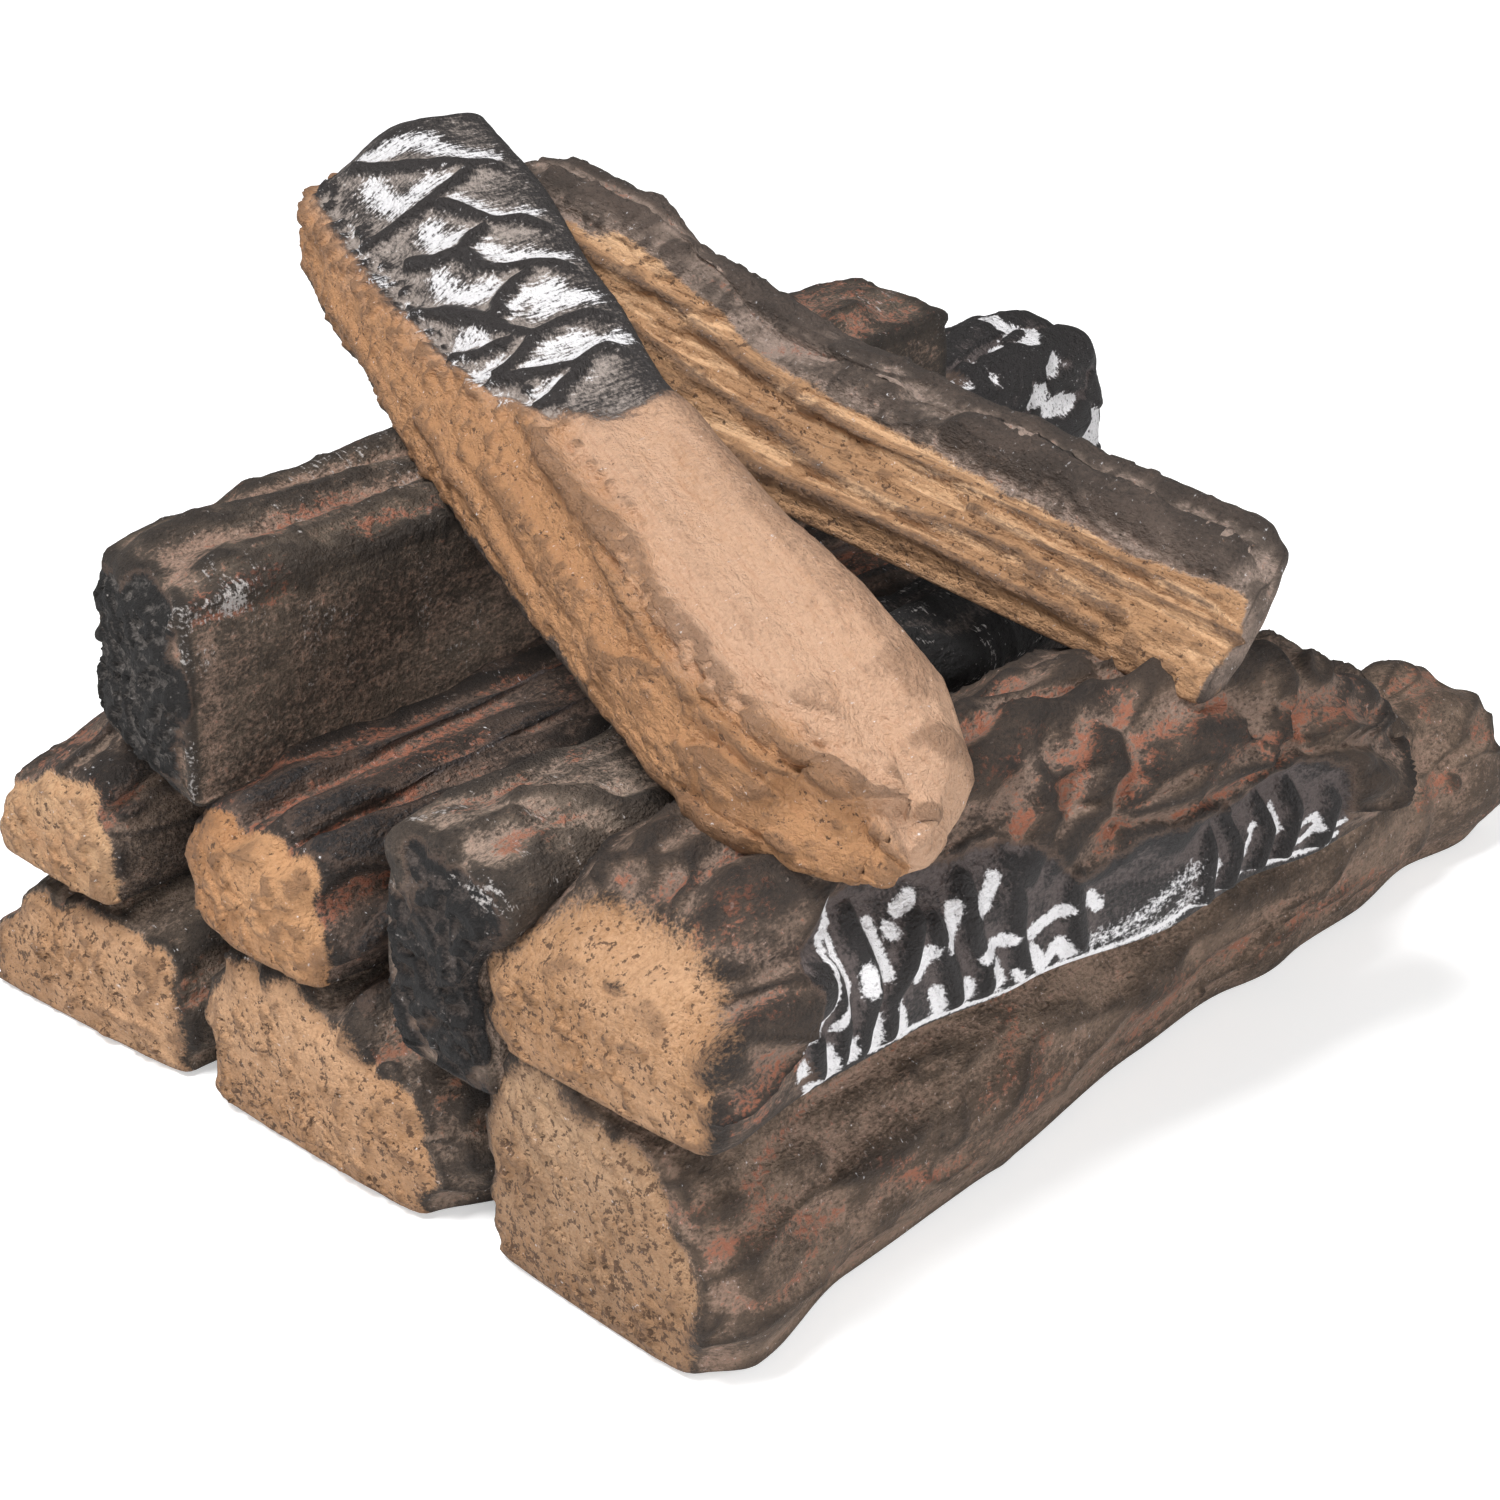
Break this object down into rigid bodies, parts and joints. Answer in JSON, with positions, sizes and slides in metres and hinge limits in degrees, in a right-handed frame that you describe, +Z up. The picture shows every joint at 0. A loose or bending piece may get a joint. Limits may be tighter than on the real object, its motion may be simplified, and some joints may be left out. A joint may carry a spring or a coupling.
{
  "type": "gas log set",
  "caption": "Stack of loose cast logs for a gas fire: hearth logs below, a second row across them and split logs leaning on top, each with sawn ends, bark and char.",
  "frame": {"origin": "on the hearth plane under the middle of the whole stack", "axes": "+X along the logs, away from their sawn front ends; +Y to the left of the stack seen from the front ends; +Z up"},
  "size_m": [0.4082, 0.3156, 0.2051],
  "materials": {
    "left_hearth_bark": "matte",
    "middle_hearth_bark": "matte",
    "right_hearth_bark": "matte",
    "long_bark": "matte",
    "ridged_bark": "matte",
    "black_char": "matte",
    "ash_streaked_bark": "matte",
    "upper_block_bark": "matte",
    "tan_split_wood": "matte",
    "cross_split_wood": "matte"
  },
  "bodies": {
    "stack_base": {"hearth_log_left": "left_hearth_bark", "hearth_log_middle": "middle_hearth_bark", "hearth_log_right": "right_hearth_bark", "long_log": "long_bark", "ridged_log": "ridged_bark", "ash_streaked_log": "ash_streaked_bark"},
    "black_block": {"black_block_log": "black_char"},
    "upper_block": {"upper_block_log": "upper_block_bark"},
    "charred_split": {"charred_split_log": "tan_split_wood"},
    "cross": {"cross_log": "cross_split_wood"}
  },
  "joints": [
    {"name": "black_block_draw", "type": "slide", "parent": "stack_base", "child": "black_block", "axis": [-0.9986, 0, 0.0523], "range_m": [0, 0.27]},
    {"name": "upper_block_lift", "type": "slide", "parent": "stack_base", "child": "upper_block", "axis": [0, 0, 1], "range_m": [0, 0.15]},
    {"name": "charred_split_lift", "type": "slide", "parent": "upper_block", "child": "charred_split", "axis": [0, 0, 1], "range_m": [0, 0.12]},
    {"name": "cross_log_lift", "type": "slide", "parent": "upper_block", "child": "cross", "axis": [0.7071, 0, 0.7071], "range_m": [0, 0.12]}
  ]
}
